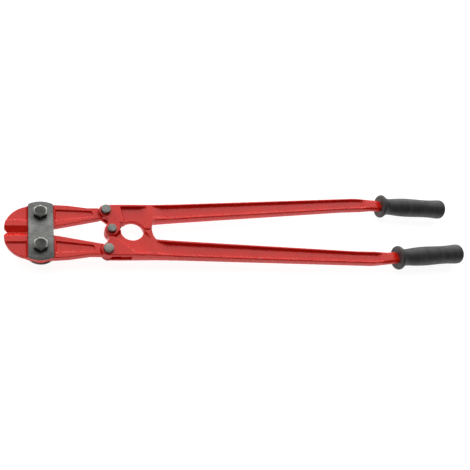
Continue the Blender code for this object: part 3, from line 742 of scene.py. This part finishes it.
socket = [(0.0, SOCKET_FLOOR), (1.2, SOCKET_FLOOR), (1.35, SCREW_END - 0.1), (1.85, SCREW_END),
          (SCREW_RADIUS, SCREW_END - 0.5)]
screw = lathe(socket + threaded(SCREW_RADIUS, SCREW_END - 0.9, SCREW_TIP), 48)
aim = Matrix.Rotation(SCREW_ANGLE, 4, "Z") @ Matrix.Rotation(math.radians(90), 4, "Y")
place_piece(add_mesh("pivot_lock_screw_detail", *screw, at(0.0, 0.0, SCREW_Z) @ aim, 28.0), "upper_arm",
            "dark_steel", "pivot_lock_screw")


# ---------------------------------------------------------------- grips
def spline(points, steps=4):
    """The same profile through Catmull-Rom curves."""
    points = [Vector(p) for p in points]
    out = []
    for i in range(len(points) - 1):
        a, b = points[max(i - 1, 0)], points[i]
        c, d = points[i + 1], points[min(i + 2, len(points) - 1)]
        for step in range(steps):
            t = step / steps
            out.append(tuple(0.5 * ((2 * b) + (c - a) * t + (2 * a - 5 * b + 4 * c - d) * t * t
                                    + (3 * b - a - 3 * c + d) * t * t * t)))
    return out + [tuple(points[-1])]


def grip_mesh():
    """Flared collar, neck, swelling barrel and rounded end, with a mouth that takes the arm's core."""
    stations = [(129.5, 13.0), (128.9, 14.9), (126.8, 16.7), (123.0, 17.25), (116.0, 17.0), (104.0, 16.2),
                (88.0, 16.0), (70.0, 16.5), (52.0, 16.7), (35.0, 16.0), (22.0, 14.8), (15.0, 14.5),
                (10.0, 15.3), (6.0, 17.2), (3.6, 19.0), (2.2, 20.1), (0.4, 20.5), (-1.2, 20.2),
                (-2.5, 19.2), (-3.0, 17.8)]
    body = [(radius, along) for along, radius in spline(stations)]
    end = [(0.0, GRIP_END), (6.0, GRIP_END), (11.0, GRIP_END)]
    mouth = [(16.6, -2.95), (15.5, -2.7), (13.6, -1.8), (11.5, MOUTH_FLOOR - 0.1), (9.6, MOUTH_FLOOR)]
    core_edge = CORE_HEIGHT_HALF + 0.1
    return lathe(end + body + mouth + [(core_edge, MOUTH_FLOOR), (0.0, MOUTH_FLOOR)], 96)


grip_axis = (at(GRIP_CENTRE[0], GRIP_CENTRE[1]) @ Matrix.Rotation(GRIP_ANGLE, 4, "Z")
             @ Matrix.Rotation(math.radians(90), 4, "Y"))
grip = grip_mesh()
place_piece(add_mesh("upper_grip_sleeve", *grip, grip_axis, 50.0), "upper_arm", "grip_rubber", "upper_grip")
place_piece(add_mesh("lower_grip_sleeve", *grip, turned_over() @ grip_axis, 50.0), "lower_arm", "grip_rubber",
            "lower_grip")


# ---------------------------------------------------------------- camera, light and floor
def on_stage(name, data, location, rotation=(0.0, 0.0, 0.0)):
    item = bpy.data.objects.new(name, data)
    item.location = location
    item.rotation_euler = [math.radians(a) for a in rotation]
    bpy.context.scene.collection.objects.link(item)
    return item


lens = bpy.data.cameras.new("camera")
lens.sensor_width = 36.0
lens.lens = 45.0926
camera = on_stage("camera", lens, TOOL + Vector((-115.19257, -459.74445, 766.16058)) * MM,
                  (32.17351, -16.30384, -10.31231))
bpy.context.scene.camera = camera

FLOOR_HALF = 6.0
floor = bpy.data.meshes.new("floor")
corners = [(x * FLOOR_HALF, y * FLOOR_HALF, 0.0) for x, y in ((-1, -1), (1, -1), (1, 1), (-1, 1))]
floor.from_pydata(corners, [], [(0, 1, 2, 3)])
floor_item = on_stage("floor", floor, (0.0, 0.0, 0.0))
pale = Shader("pale_floor")
tone = pale.ramp(pale.noise(3.0, 2.0), [(0.3, (0.29, 0.29, 0.29)), (0.7, (0.31, 0.31, 0.31))])
floor.materials.append(pale.finish(base_color=tone, roughness=0.9, specular_ior_level=0.1,
                                   emission_color=(1.0, 1.0, 1.0), emission_strength=0.92))


def area_light(name, size, energy, location, aim):
    data = bpy.data.lights.new(name, "AREA")
    data.shape = "RECTANGLE"
    data.size, data.size_y = size
    data.energy = energy
    light = on_stage(name, data, location)
    light.rotation_euler = (Vector(aim) - Vector(location)).to_track_quat("-Z", "Y").to_euler()


area_light("back_softbox", size=(5.0, 3.0), energy=80.0, location=(0.0, 1.54, 1.71), aim=(0.0, 0.0, 0.0))
area_light("rim_strip", size=(4.0, 0.25), energy=26.0, location=(0.0, 2.2, 0.5), aim=(0.0, 0.0, 0.0))

world = bpy.data.worlds.new("studio")
world.use_nodes = True
world.node_tree.nodes["Background"].inputs["Color"].default_value = (1.0, 1.0, 1.0, 1.0)
world.node_tree.nodes["Background"].inputs["Strength"].default_value = 0.10
bpy.context.scene.world = world
bpy.context.scene.view_settings.view_transform = "Standard"
